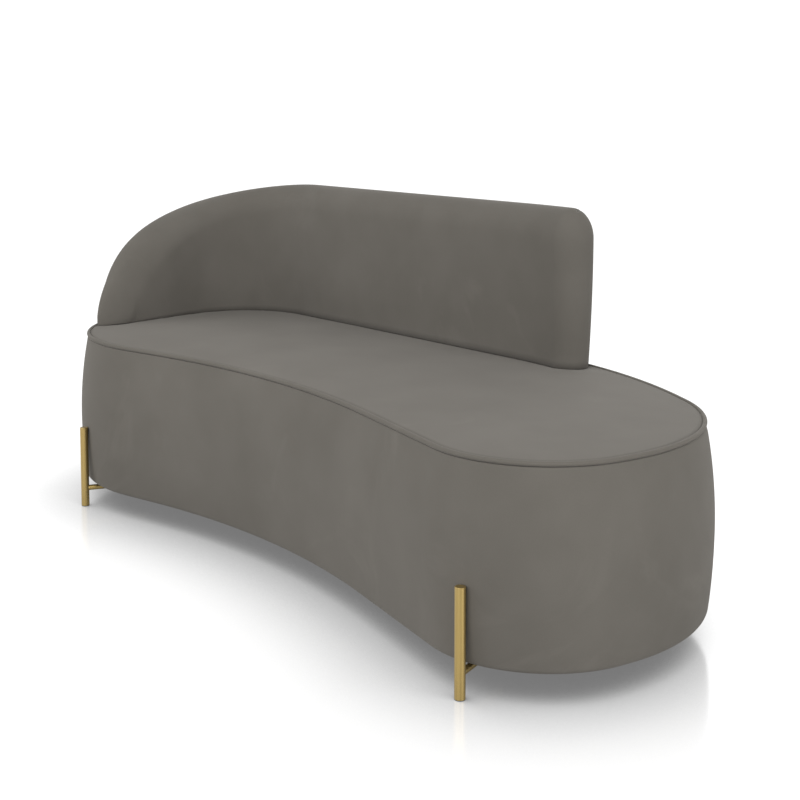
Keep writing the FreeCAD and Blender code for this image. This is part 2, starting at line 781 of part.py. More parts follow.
def build_upholstery(slots):
    nodes["side_cover"] = run_round(side_cover_section())
    nodes["side_foam"] = run_round(side_foam_section())
    nodes["seat_welt"] = run_round(welt_disc.cut(cord_disc).Faces[0])
    nodes["seat_welt_cord"] = run_round(cord_disc)

    pocket = footprint(5 * SLIP, back_foot - SLIP, seat_top + 1)
    cover_rim = run_round(seat_cover_section())
    cover_flat = slab(-CROWN_WIDTH, seat_top - FABRIC, seat_top)
    nodes["seat_cover"] = joined([cover_rim.cut(pocket), cover_flat.cut(pocket)])
    foam_rim = run_round(seat_foam_section())
    foam_middle = slab(-CROWN_WIDTH, deck, seat_top - FABRIC)
    nodes["seat_foam"] = joined([foam_rim, foam_middle]).cut(pocket).cut(slots)

    outside = back_form(0.0)
    inside = back_form(FABRIC)
    shell = outside.cut(inside)
    seam = -BACK_INSET + SEAM_FROM_RIDGE
    behind = ribbon(seam, BELLY, 0.0, arm_nose, back_foot - 1, BACK_HEIGHT + 1)
    nodes["back_outside_cover"] = shell.common(behind)
    nodes["back_inside_cover"] = shell.cut(behind)

    core = joined(along_back(lambda s: core_wire(s, core_in, core_out, back_foot - 1, TOP_PADDING),
                             0.0, fall_stations(frame_last + FORM_GAP)))
    nodes["back_foam"] = inside.cut(core)


# One leg, drawn at the origin with +X outward from the welt
screw_in = -(SIDE_TURN_UNDER - under_centre.x + LINING_LAP)
plate_out = screw_in
plate_in = plate_out - PLATE_LENGTH
screw_spots = []
for x in (plate_in + PLATE_MARGIN, plate_out - PLATE_MARGIN):
    for y in (-PLATE_WIDTH / 2 + PLATE_MARGIN, PLATE_WIDTH / 2 - PLATE_MARGIN):
        screw_spots.append(Vector(x, y, 0))
screw_top = panel_top - 2.0


def upright_tube(outer, inner, bottom, top):
    tube = Part.makeCylinder(outer / 2, top - bottom, spot(leg_reach, bottom))
    return tube.cut(Part.makeCylinder(inner / 2, top - bottom, spot(leg_reach, bottom)))


def leg_pieces():
    bore = LEG_DIAMETER - 2 * LEG_WALL
    tube = upright_tube(LEG_DIAMETER, bore, GLIDE_HEAD, LEG_HEIGHT - LEG_DISC)
    disc = Part.makeCylinder(LEG_DIAMETER / 2, LEG_DISC, spot(leg_reach, LEG_HEIGHT - LEG_DISC))
    top_edges = [e for e in disc.Edges if e.BoundBox.ZMin > LEG_HEIGHT - 0.01]
    disc = disc.makeChamfer(LEG_DISC / 3, top_edges)
    head = Part.makeCylinder(LEG_DIAMETER / 2 - LEG_WALL / 3, GLIDE_HEAD, spot(leg_reach, 0))
    shank = Part.makeCylinder(bore / 2 - SNUG, GLIDE_SHANK, spot(leg_reach, GLIDE_HEAD))
    glide = joined([head, shank])

    strut = rod(STRUT_DIAMETER, plate_in, leg_reach, STRUT_HEIGHT)
    strut = strut.cut(rod(STRUT_DIAMETER - 2 * STRUT_WALL, plate_in, leg_reach, STRUT_HEIGHT))
    strut = strut.cut(Part.makeCylinder(LEG_DIAMETER / 2, LEG_HEIGHT, spot(leg_reach, 0)))
    above_plate = plate_bottom + STRUT_DIAMETER
    strut = strut.cut(block(plate_in - 1, plate_out, STRUT_DIAMETER, plate_bottom, above_plate))

    plate = block(plate_in, plate_out, PLATE_WIDTH, plate_bottom, lining_bottom)
    for at in screw_spots:
        plate = plate.cut(stud(SCREW_DIAMETER + 2 * SLIP, at, plate_bottom, lining_bottom))
    return {"tube": tube, "disc": disc, "glide": glide, "strut": strut, "plate": plate}


def toed(shape, name):
    """Copy of a leg's piece turned about the leg's own axis."""
    copy = shape.copy()
    copy.rotate(spot(leg_reach, 0), UP, strut_turns[name])
    return copy


def build_legs():
    panel = slab(frame_edge, panel_bottom, panel_top)
    lining = slab(under_centre.x - LINING_LAP, lining_bottom, underside)
    pieces = leg_pieces()
    screws = []
    for name, (bend, angle) in leg_places.items():
        point = bend.at(angle, 0)
        turn = bend.outward(angle)
        for piece, shape in pieces.items():
            nodes["leg_" + name + "_" + piece] = placed(toed(shape, name), point, turn)
        for at in screw_spots:
            shank = stud(SCREW_DIAMETER, at, plate_bottom, screw_top)
            head = stud(SCREW_HEAD_DIAMETER, at, plate_bottom - SCREW_HEAD_HEIGHT, plate_bottom)
            screws.append(placed(toed(joined([shank, head]), name), point, turn))
            pilot = stud(SCREW_DIAMETER + 2 * SNUG, at, lining_bottom, screw_top)
            pilot = placed(toed(pilot, name), point, turn)
            panel = panel.cut(pilot)
            lining = lining.cut(pilot)
    nodes["leg_screws"] = Part.makeCompound(screws)
    nodes["base_bottom_panel"] = panel
    nodes["underside_lining"] = lining


nodes = {}
build_upholstery(build_frame())
build_webbing()
build_legs()

os.makedirs("parts", exist_ok=True)
for name, shape in nodes.items():
    shape.exportStep("parts/" + name + ".step")
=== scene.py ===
import json
import math

import bmesh
import bpy
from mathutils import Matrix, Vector, noise
from mathutils.bvhtree import BVHTree
from mathutils.geometry import delaunay_2d_cdt
from mathutils.interpolate import poly_3d_calc
from mathutils.kdtree import KDTree


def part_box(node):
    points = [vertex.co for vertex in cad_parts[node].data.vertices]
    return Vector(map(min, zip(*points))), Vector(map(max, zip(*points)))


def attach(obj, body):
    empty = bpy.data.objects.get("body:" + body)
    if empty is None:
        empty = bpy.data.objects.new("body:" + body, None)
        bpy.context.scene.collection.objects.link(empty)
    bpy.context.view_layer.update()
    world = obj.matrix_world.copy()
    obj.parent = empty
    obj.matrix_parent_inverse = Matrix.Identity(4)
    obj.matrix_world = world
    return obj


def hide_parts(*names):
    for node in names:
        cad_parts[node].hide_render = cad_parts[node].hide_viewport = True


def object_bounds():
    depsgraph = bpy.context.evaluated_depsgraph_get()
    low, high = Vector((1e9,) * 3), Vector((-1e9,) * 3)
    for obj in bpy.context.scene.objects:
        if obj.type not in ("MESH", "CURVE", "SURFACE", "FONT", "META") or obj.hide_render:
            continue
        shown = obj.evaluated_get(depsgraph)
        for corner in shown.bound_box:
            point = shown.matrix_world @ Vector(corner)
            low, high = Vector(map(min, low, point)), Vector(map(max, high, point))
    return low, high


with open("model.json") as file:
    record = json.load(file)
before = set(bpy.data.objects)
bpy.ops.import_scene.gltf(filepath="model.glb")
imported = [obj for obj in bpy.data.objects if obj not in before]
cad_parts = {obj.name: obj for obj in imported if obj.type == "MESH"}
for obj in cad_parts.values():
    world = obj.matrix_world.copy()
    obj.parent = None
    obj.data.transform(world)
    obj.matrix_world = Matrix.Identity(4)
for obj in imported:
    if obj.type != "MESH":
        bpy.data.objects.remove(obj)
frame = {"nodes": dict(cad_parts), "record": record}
cad_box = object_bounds()

MM = 0.001

# Plan of the seat in mm and degrees, as in the CAD source
LEANS = [-92.43, 12.51, -13.00, 83.02, 154.25, 180.0]
STRAIGHTS = [14.1, 90.6, 0.0, 22.3, 35.0, 0.0]
RADII = [362.0, 1769.0, 211.0, 394.0, 1160.0, 318.0]

# Section of the seat in mm, with the sizes that the CAD source sets or works out
WELT_HEIGHT = 401.5
WELT_RADIUS = 4.5
BELLY = 21.0
BELLY_HEIGHT = 206.0
SIDE_TUCK = 9.5
UNDER_RADIUS = 10.0
UNDERSIDE = 53.15
CROWN = 6.0
CROWN_WIDTH = 140.0
DECK = 322.0
EDGE_PADDING = 12.0
TURN_UNDER = 24.0
FABRIC = 1.5
CLEAR = 0.3

# Backrest in mm and degrees, with the sizes that the CAD source sets or works out
BACK_HEIGHT = 749.0
BACK_FOOT = 404.5
BACK_INSET = 48.0
FOOT_HALF = 41.0
BACK_HALF = 49.0
BACK_ROLL = 66.0
END_TURN = 8.4
ARM_WRAP = 32.0
ARM_NOSE = 88.0
SEAM_FROM_RIDGE = 20.0

# Left arm: the curve of its falling ridge, and its padding in mm, thickest some way behind the tip
FALL_POWER = 1.78
FALL_ROOT = 2.35
ARM_THICK = 110.0
PEAK_BEHIND_TIP = 205.0
PADDING_STARTS = 330.0
PADDING_ENDS = 10.0

# Limits at the arm's tip: shares of the fall and of the width, and the least height in mm
TIP_FALL = 0.9995
TIP_WIDTH = 0.02
EVEN_WIDTH = 0.05
TIP_HEIGHT = 2.0

# Back pad: the most of its height that the roll takes, and how far its foot sinks in mm
ROLL_SHARE = 0.8
FOOT_SINK = 1.0

# Side cover in mm: its lip under the welt, its turned edge and its back
LIP = [(-1.0, 4.8), (1.0, 5.3), (2.2, 6.6)]
LIP_DROP = 9.5
COVER_EDGE = 1.2
SKIN_MIDDLE = 150.0
INNER_DROP = 10.0

# Seat top in mm: the foam's wall, the tuck at the welt, the crease and the swell round the backrest
WALL_HEIGHTS = [DECK + CLEAR, 345.0, 370.0, WELT_HEIGHT - 8.0]
EDGE_IN = 3.6
EDGE_DROP = 4.4
TUCK_DEPTH = 1.6
TUCK_REACH = (3.0, 11.0)
CREASE_DEPTH = 1.8
CREASE_REACH = 16.0
SWELL_RISE = 1.2
SWELL_START = 4.0
SWELL_TOP = 26.0
SWELL_END = 90.0

# Rings of the seat top in mm from the welt line, the first at the welt's own height
FINE_RINGS = [4.9, 4.7, 5.4, 6.6, 8.2, 10.5, 14, 20, 30, 44, 58, 72, 82, 87, 90,
              92.5, 95, 98, 102, 107, 114, 124, 136, 150, 168]
PLAIN_RINGS = [4.9, 4.7, 14, 30, 50, 72, 92, 112, 138, 168]
NET_ROW = 0.87

# Unevenness of the stuffing in mm, and of the welt as a share of its radius with its waves per mm
SIDE_UNEVEN = 1.4
SEAT_UNEVEN = 1.0
BACK_UNEVEN = 1.2
WELT_UNEVEN = 0.02
WELT_WAVES = 0.03
WELT_SEED = 3.0

# Strips in mm that stay even: low and high on the side, at the backrest's foot and in from the welt
STILL_BELOW = 12.0
STILL_ABOVE = 10.0
STILL_FOOT = 15.0
SEAT_GROWS = (20.0, 120.0)
SWELL_GROWS = (20.0, 60.0)

# Sewn groove behind the ridge: turn round the roll in radians and depth in mm
GROOVE = [(-0.10, 0.0), (-0.045, 0.15), (-0.018, 0.9), (0.0, 1.7), (0.018, 0.7), (0.045, 0.0), (0.10, 0.0)]
GROOVE_OUTER = 0.52
GROOVE_INNER = 0.30

# Cloth: frames, rise of the seat in mm, and the strip that is held beside the welt and the backrest
PUFF_FRAMES = 14
PUFF_RISE = 4.0
HELD_STRIP = 14.0
HELD_ABOVE_WELT = 2.0

# Mesh steps
PLAN_SAMPLES = 4000
WELT_SAMPLES = 1600
SIDE_STATIONS = 720
SIDE_STEPS = 25
UNDER_STEPS = 6
INNER_STEPS = 4
WELT_STATIONS = 1100
WELT_SIDES = 14
FACE_STEPS = 16
ROLL_STEPS = 14
END_STEPS = 12
NOSE_STEPS = 22
BACK_STEP = 12.0
FOOT_STEP = 3.0
NEAREST = 10
WELD = 0.0004


# Plan outline: six rounded corners joined by straights
def way(angle):
    return Vector((math.cos(angle), math.sin(angle)))


def wrap(angle):
    return math.remainder(angle, 2 * math.pi)


class Bend:
    """A rounded corner of the plan, between the ways that arrive at it and leave it."""

    def __init__(self, corner, arriving, leaving, radius):
        self.turn = wrap(leaving - arriving)
        self.side = math.copysign(1.0, self.turn)
        self.radius = radius
        self.start = arriving - self.side * math.pi / 2
        self.end = self.start + self.turn
        first = corner - way(arriving) * radius * math.tan(abs(self.turn) / 2)
        self.centre = first - way(self.start) * radius

    def at(self, angle):
        return self.centre + way(angle) * self.radius

    def outward(self, angle):
        return angle if self.side > 0 else angle + math.pi


def plan():
    """The six bends. The front's and the back's straight lengths are worked out to close the outline."""
    ways = [math.radians(lean) for lean in LEANS]
    after = ways[1:] + ways[:1]
    reach = [r * math.tan(abs(wrap(b - a)) / 2) for a, b, r in zip(ways, after, RADII)]
    lengths = [reach[i - 1] + STRAIGHTS[i] + reach[i] for i in range(len(ways))]
    gap = Vector((0, 0))
    for a, length in zip(ways, lengths):
        gap -= way(a) * length
    front, back = way(ways[2]), way(ways[5])
    cross = front.x * back.y - front.y * back.x
    lengths[2] += (gap.x * back.y - gap.y * back.x) / cross
    lengths[5] += (front.x * gap.y - front.y * gap.x) / cross
    corner = Vector((0, 0))
    bends = []
    for a, b, length, radius in zip(ways, after, lengths, RADII):
        corner = corner + way(a) * length
        bends.append(Bend(corner, a, b, radius))
    return bends


class Run:
    """A straight or a bend of the plan, measured along a line set in from the welt."""

    def __init__(self, bend, following=None, first=None, last=None, inset=0.0):
        self.bend = bend
        self.line = following is not None
        if self.line:
            self.angle = bend.outward(bend.end)
            self.first = bend.at(bend.end)
            self.last = following.at(following.start)
            self.length = (self.last - self.first).length
        else:
            self.first = first
            self.reach = bend.radius - bend.side * inset
            self.length = abs(last - first) * self.reach

    def place(self, run):
        if self.line:
            return self.first.lerp(self.last, run / self.length), self.angle
        angle = self.first + self.bend.side * run / self.reach
        return self.bend.at(angle), self.bend.outward(angle)


def round_the_plan(inset=0.0):
    """The whole plan from the backrest's right end, along the back and on round the front."""
    end = back_right.end - math.radians(END_TURN)
    runs = [Run(back_right, first=end, last=back_right.end, inset=inset), Run(back_right, back_left)]
    order = [back_left, front_left, waist, front_right, side_right]
    for bend, following in zip(order, order[1:] + [back_right]):
        runs.append(Run(bend, first=bend.start, last=bend.end, inset=inset))
        runs.append(Run(bend, following))
    runs.append(Run(back_right, first=back_right.start, last=end, inset=inset))
    return runs


def length_of(runs):
    return sum(run.length for run in runs)


def locate(runs, station):
    """Point of the welt line and outward angle at a distance along the runs."""
    for run in runs:
        if station <= run.length:
            return run.place(station)
        station -= run.length
    return runs[-1].place(runs[-1].length)


def plan_shift():
    """Step from the plan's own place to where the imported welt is."""
    runs = round_the_plan()
    xs, ys = [], []
    for i in range(PLAN_SAMPLES):
        point, angle = locate(runs, length_of(runs) * i / PLAN_SAMPLES)
        point = point + way(angle) * WELT_RADIUS
        xs.append(point.x)
        ys.append(point.y)
    low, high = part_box("seat_welt")
    return Vector(((low[0] + high[0]) / 2 / MM - (min(xs) + max(xs)) / 2,
                   (low[1] + high[1]) / 2 / MM - (min(ys) + max(ys)) / 2))


bends = plan()
front_left, waist, front_right, side_right, back_right, back_left = bends
shift = plan_shift()
for bend in bends:
    bend.centre = bend.centre + shift
welt_line = round_the_plan()
back_line = round_the_plan(BACK_INSET)
WELT_LENGTH = length_of(welt_line)
ARM_START = length_of(back_line[:2])
ARM_END = length_of(back_line[:4]) + math.radians(ARM_WRAP) * (front_left.radius - BACK_INSET)
ARM_TIP = ARM_END + ARM_NOSE
ARM_PEAK = ARM_TIP - PEAK_BEHIND_TIP


# Meshes
def spot(runs, station, x, z):
    """Point at a station, an outward distance from the welt line and a height, in metres."""
    point, angle = locate(runs, station)
    point = point + way(angle) * x
    return Vector((point.x * MM, point.y * MM, z * MM))


def ring(count, x, z):
    """Points all round the seat at an outward distance from the welt line and a height."""
    return [spot(welt_line, WELT_LENGTH * i / count, x, z) for i in range(count)]


def rings_to_faces(count, size, closed):
    faces = []
    last = count if closed else count - 1
    for i in range(last):
        j = (i + 1) % count
        for k in range(size):
            m = (k + 1) % size
            faces.append((i * size + k, j * size + k, j * size + m, i * size + m))
    return faces


def add_mesh(name, verts, faces, weld=0.0):
    mesh = bpy.data.meshes.new(name)
    mesh.from_pydata(verts, [], faces)
    mesh.validate()
    bm = bmesh.new()
    bm.from_mesh(mesh)
    if weld:
        bmesh.ops.remove_doubles(bm, verts=bm.verts, dist=weld)
    bmesh.ops.recalc_face_normals(bm, faces=bm.faces)
    bm.to_mesh(mesh)
    bm.free()
    for face in mesh.polygons:
        face.use_smooth = True
    piece = bpy.data.objects.new(name, mesh)
    bpy.context.scene.collection.objects.link(piece)
    return piece


def plan_tree(points):
    tree = KDTree(len(points))
    for i, point in enumerate(points):
        tree.insert(point.to_3d(), i)
    tree.balance()
    return tree


def smoothstep(low, high, value):
    t = min(1.0, max(0.0, (value - low) / (high - low)))
    return t * t * (3 - 2 * t)


def uneven(point, across, up, seed):
    """Slow unevenness of stuffed fabric, the same each time, with its waves per metre across and up."""
    return noise.noise(Vector((point.x * across, point.y * across, point.z * up + seed)))


# Side of the seat: the section bulges to the belly, tucks under and closes behind the padding
shoulder = 0.4 * WELT_RADIUS
shoulder_drop = math.sqrt(WELT_RADIUS ** 2 - shoulder ** 2)
side_rise = WELT_HEIGHT - shoulder_drop - BELLY_HEIGHT
side_radius = ((BELLY - shoulder) ** 2 + side_rise ** 2) / (2 * (BELLY - shoulder))
side_fall = BELLY_HEIGHT - UNDERSIDE
lower_radius = (SIDE_TUCK ** 2 + side_fall ** 2) / (2 * SIDE_TUCK)
under_z = UNDERSIDE + UNDER_RADIUS
under_run = math.sqrt((lower_radius - UNDER_RADIUS) ** 2 - (under_z - BELLY_HEIGHT) ** 2)
under_x = BELLY - lower_radius + under_run
skin_face = under_x - EDGE_PADDING


def side_x(z):
    """Outward distance of the side at a height."""
    radius = side_radius if z > BELLY_HEIGHT else lower_radius
    return BELLY - radius + math.sqrt(radius ** 2 - (z - BELLY_HEIGHT) ** 2)


def side_section():
    """Outward distance and height round the side pad, from the welt down, under and up behind."""
    points = [(x, WELT_HEIGHT - drop) for x, drop in LIP]
    top = WELT_HEIGHT - LIP_DROP
    for i in range(SIDE_STEPS + 1):
        z = top + (under_z - top) * i / SIDE_STEPS
        points.append((side_x(z), z))
    for i in range(1, UNDER_STEPS + 1):
        angle = -math.pi / 2 * i / UNDER_STEPS
        points.append((under_x + UNDER_RADIUS * math.cos(angle), under_z + UNDER_RADIUS * math.sin(angle)))
    points += [(under_x - TURN_UNDER, z) for z in (UNDERSIDE, UNDERSIDE + COVER_EDGE)]
    points += [(skin_face + CLEAR, z) for z in (UNDERSIDE + COVER_EDGE, SKIN_MIDDLE, DECK - CLEAR)]
    for i in range(INNER_STEPS + 1):
        z = DECK - CLEAR + (WELT_HEIGHT - INNER_DROP - DECK) * i / INNER_STEPS
        points.append((side_x(z) - FABRIC, z))
    return points


def make_side():
    section = side_section()
    verts = []
    for i in range(SIDE_STATIONS):
        station = WELT_LENGTH * i / SIDE_STATIONS
        for x, z in section:
            point = spot(welt_line, station, x, z)
            if x > LIP[0][0] and UNDERSIDE + STILL_BELOW < z < WELT_HEIGHT - STILL_ABOVE:
                bump = uneven(point, across=3.1, up=2.3, seed=5.0) * SIDE_UNEVEN
                point = spot(welt_line, station, x + bump, z)
            verts.append(point)
    return add_mesh("seat_side_pad", verts, rings_to_faces(SIDE_STATIONS, len(section), True))


# Welt: a fabric tube over a cord
def make_welt():
    verts = []
    for i in range(WELT_STATIONS):
        station = WELT_LENGTH * i / WELT_STATIONS
        wave = noise.noise(Vector((station * WELT_WAVES, WELT_SEED, 0)))
        radius = WELT_RADIUS * (1 + WELT_UNEVEN * wave)
        for k in range(WELT_SIDES):
            angle = 2 * math.pi * k / WELT_SIDES
            x, z = way(angle) * radius
            verts.append(spot(welt_line, station, x, WELT_HEIGHT + z))
    return add_mesh("seat_welt_tube", verts, rings_to_faces(WELT_STATIONS, WELT_SIDES, True))


# Backrest: one section along its line, lower and narrower towards the arm's tip
def fall_of(station):
    """Share of the way from the start of the arm to its tip."""
    return min(1.0, max(0.0, (station - ARM_START) / (ARM_TIP - ARM_START)))


def ridge(station):
    """Height of the ridge."""
    left = max(0.0, 1 - fall_of(station) ** FALL_POWER)
    return BACK_FOOT + (BACK_HEIGHT - BACK_FOOT) * left ** (1 / FALL_ROOT)


def ridge_slope(station):
    fall = min(TIP_FALL, fall_of(station))
    steep = (BACK_HEIGHT - BACK_FOOT) / (ARM_TIP - ARM_START) * FALL_POWER / FALL_ROOT
    return steep * fall ** (FALL_POWER - 1) * (1 - fall ** FALL_POWER) ** (1 / FALL_ROOT - 1)


def narrowing(station):
    """Width at a station as a share of the full width: the arm's nose is round in plan."""
    past = max(0.0, station - ARM_END) / ARM_NOSE
    return math.sqrt(max(0.0, 1 - past ** 2))


def fullness(station):
    """Reach of the inner half against the outer one: the arm's inside is one long soft curve."""
    width = narrowing(station)
    if width < EVEN_WIDTH:
        return 1.0
    past = (station - ARM_PEAK) / (ARM_TIP - ARM_PEAK)
    if past > 0:
        thick = ARM_THICK * math.sqrt(max(0.0, 1 - past ** 2))
    else:
        grown = smoothstep(ARM_PEAK - PADDING_STARTS, ARM_PEAK + PADDING_ENDS, station)
        thick = 2 * FOOT_HALF + (ARM_THICK - 2 * FOOT_HALF) * grown
    return max(1.0, thick / (FOOT_HALF * width) - 1)


def seam_groove(side, rise, roll):
    """Where the outside cover meets the inside one: a narrow groove behind the ridge."""
    points = []
    middle = math.acos(SEAM_FROM_RIDGE / BACK_HALF)
    for turn, depth in GROOVE:
        angle = middle + turn
        shrink = 1 - depth / BACK_HALF
        points.append((side * shrink * math.cos(angle), rise + (roll - depth) * math.sin(angle)))
    return points


def back_section(station):
    """Section of the backrest: outer foot, up over the ridge, inner foot and along the bottom."""
    width = max(TIP_WIDTH, narrowing(station))
    height = max(TIP_HEIGHT, ridge(station) - BACK_FOOT)
    foot, side = FOOT_HALF * width, BACK_HALF * width
    roll = min(BACK_ROLL * math.sqrt(1 + ridge_slope(station) ** 2), ROLL_SHARE * height)
    rise = height - roll
    swell = side - foot
    radius = (rise ** 2 + swell ** 2) / (2 * swell)
    half = []
    for i in range(FACE_STEPS):
        z = rise * i / FACE_STEPS
        half.append((side - radius + math.sqrt(max(0.0, radius ** 2 - (z - rise) ** 2)), z))
    for i in range(ROLL_STEPS):
        angle = math.pi / 2 * i / ROLL_STEPS
        half.append((side * math.cos(angle), rise + roll * math.sin(angle)))
    points = [(x, z) for x, z in half if x > GROOVE_OUTER * side or z < rise]
    points += seam_groove(side, rise, roll)
    points += [(x, z) for x, z in half if z > rise and x < GROOVE_INNER * side]
    points.append((0.0, height))
    full = fullness(station)
    points += [(-x * full, z) for x, z in reversed(half)]
    points += [(foot * share, -FOOT_SINK) for share in (-0.5, 0.0, 0.5)]
    middle = -BACK_INSET + FOOT_HALF * (1 - width)
    return [(middle + x, BACK_FOOT + z) for x, z in points]


def back_stations():
    stations = []
    station = 0.0
    while station < ARM_END:
        stations.append(station)
        station += BACK_STEP
    for i in range(NOSE_STEPS):
        stations.append(ARM_END + ARM_NOSE * math.sin(math.pi / 2 * i / NOSE_STEPS))
    return stations


def back_end(section):
    """The rounded right end: both halves of the section swing out round its middle, row by row."""
    point, angle = locate(back_line, 0.0)
    axis = point - way(angle) * BACK_INSET
    ahead = way(angle - math.pi / 2)
    verts = []
    for i in range(END_STEPS):
        turn = math.pi / 2 * (1 - i / END_STEPS)
        for x, z in section:
            out = x + BACK_INSET
            place = axis + way(angle) * out * math.cos(turn) + ahead * abs(out) * math.sin(turn)
            verts.append(Vector((place.x * MM, place.y * MM, z * MM)))
    return verts


def make_back():
    section = back_section(0.0)
    stations = back_stations()
    verts = back_end(section)
    for station in stations:
        for x, z in back_section(station):
            point = spot(back_line, station, x, z)
            if z > BACK_FOOT + STILL_FOOT:
                bump = uneven(point, across=2.6, up=2.6, seed=11.0) * BACK_UNEVEN
                point = spot(back_line, station, x + bump, z)
            verts.append(point)
    size = len(section)
    faces = rings_to_faces(END_STEPS + len(stations), size, False)
    faces.append(tuple(range(size)))
    faces.append(tuple(range(len(verts) - size, len(verts))))
    return add_mesh("back_pad", verts, faces, WELD)


# Seat top: crowned inside the welt, dipping to a crease where the backrest stands on it
crown_edge = 0.7 * WELT_RADIUS
crown_reach = CROWN_WIDTH - crown_edge
crown_rise = CROWN - math.sqrt(WELT_RADIUS ** 2 - crown_edge ** 2)
crown_radius = (crown_reach ** 2 + crown_rise ** 2) / (2 * crown_rise)


def foot_marks():
    """Middle of the backrest's foot at steps along its line, and its reach to each side there."""
    marks, halves = [], []
    station = 0.0
    while station < ARM_TIP:
        width = narrowing(station)
        more = FOOT_HALF * width * (fullness(station) - 1) / 2
        point, angle = locate(back_line, station)
        marks.append(point + way(angle) * (FOOT_HALF * (1 - width) - BACK_INSET - more))
        halves.append(FOOT_HALF * width + more)
        station += FOOT_STEP
    return plan_tree(marks), halves


foot_tree, foot_halves = foot_marks()
welt_tree = plan_tree([locate(welt_line, WELT_LENGTH * i / WELT_SAMPLES)[0] for i in range(WELT_SAMPLES)])


def foot_distance(point):
    """Distance in plan from the backrest's foot, less than nothing under it."""
    return min(gap - foot_halves[index] for _, index, gap in foot_tree.find_n(point.to_3d(), NEAREST))


def crown_z(inset):
    """Height of the seat at a distance in from the welt line."""
    if inset >= CROWN_WIDTH:
        return WELT_HEIGHT + CROWN
    run = CROWN_WIDTH - max(inset, crown_edge)
    return WELT_HEIGHT + CROWN - crown_radius + math.sqrt(crown_radius ** 2 - run ** 2)


def seat_z(point, inset):
    """Height of the seat top: the crown, a tuck at the welt and a crease round the backrest's foot."""
    z = crown_z(inset)
    z -= TUCK_DEPTH * (1 - smoothstep(*TUCK_REACH, inset))
    wave = uneven(point.to_3d() * MM, across=4.2, up=0.0, seed=7.0)
    z += wave * SEAT_UNEVEN * smoothstep(*SEAT_GROWS, inset)
    gap = foot_distance(point)
    swell = smoothstep(SWELL_START, SWELL_TOP, gap) * (1 - smoothstep(SWELL_TOP, SWELL_END, gap))
    z += swell * SWELL_RISE * smoothstep(*SWELL_GROWS, inset)
    crease = 1 - smoothstep(0.0, CREASE_REACH, gap)
    return z + (BACK_FOOT - CREASE_DEPTH - z) * crease


def seat_rings(insets, count):
    """Rings up the foam's wall, over its edge and in from the welt over the crown."""
    rings = [ring(count, side_x(z) - FABRIC - CLEAR, z) for z in WALL_HEIGHTS]
    rings.append(ring(count, -EDGE_IN, WELT_HEIGHT - EDGE_DROP))
    rings.append(ring(count, -insets[0], WELT_HEIGHT))
    for inset in insets[1:]:
        points = ring(count, -inset, 0)
        for point in points:
            point.z = seat_z(point.to_2d() / MM, inset) * MM
        rings.append(points)
    return rings


def inside(point, rim):
    """Whether a plan point is inside a ring."""
    odd = False
    for a, b in zip(rim, rim[1:] + rim[:1]):
        if (a.y > point.y) != (b.y > point.y):
            if point.x < a.x + (point.y - a.y) / (b.y - a.y) * (b.x - a.x):
                odd = not odd
    return odd


def seat_net(rim, step):
    """Plan points in staggered rows inside a ring, joined to it and to each other by triangles."""
    tree = plan_tree(rim)
    points = list(rim)
    columns, rows = [round(half / step) for half in cad_box[1][:2]]
    for x in range(-columns, columns):
        for y in range(-rows, rows):
            point = Vector((x * step + (y % 2) * step / 2, y * step * NET_ROW))
            if tree.find(point.to_3d())[2] >= step / 2 and inside(point, rim):
                points.append(point)
    edges = [(i, (i + 1) % len(rim)) for i in range(len(rim))]
    net = delaunay_2d_cdt(points, edges, [], 1, 1e-6)
    return net[0], net[2], net[3]


def make_seat(name, insets, count, step):
    """Rings of so many points, a triangle net of that step in metres inside them, and a flat base."""
    rings = seat_rings(insets, count)
    verts = [point for points in rings for point in points]
    faces = rings_to_faces(len(rings), count, False)
    start = len(verts) - count
    points, triangles, sources = seat_net([point.to_2d() for point in rings[-1]], step)
    numbers = []
    for point, source in zip(points, sources):
        if source and source[0] < count:
            numbers.append(start + source[0])
        else:
            numbers.append(len(verts))
            verts.append(Vector((point.x, point.y, seat_z(point / MM, CROWN_WIDTH) * MM)))
    faces += [tuple(numbers[i] for i in triangle) for triangle in triangles]
    faces.append(tuple(range(count)))
    return add_mesh(name, verts, faces)


# Padding: the seat cover swells a little between the lines where it is sewn or held down
def seat_held(co):
    """Whether a point of the seat is sewn or held down."""
    if co.z < (WELT_HEIGHT + HELD_ABOVE_WELT) * MM:
        return True
    flat = co.to_2d() / MM
    return foot_distance(flat) < HELD_STRIP or welt_tree.find(flat.to_3d())[2] < HELD_STRIP


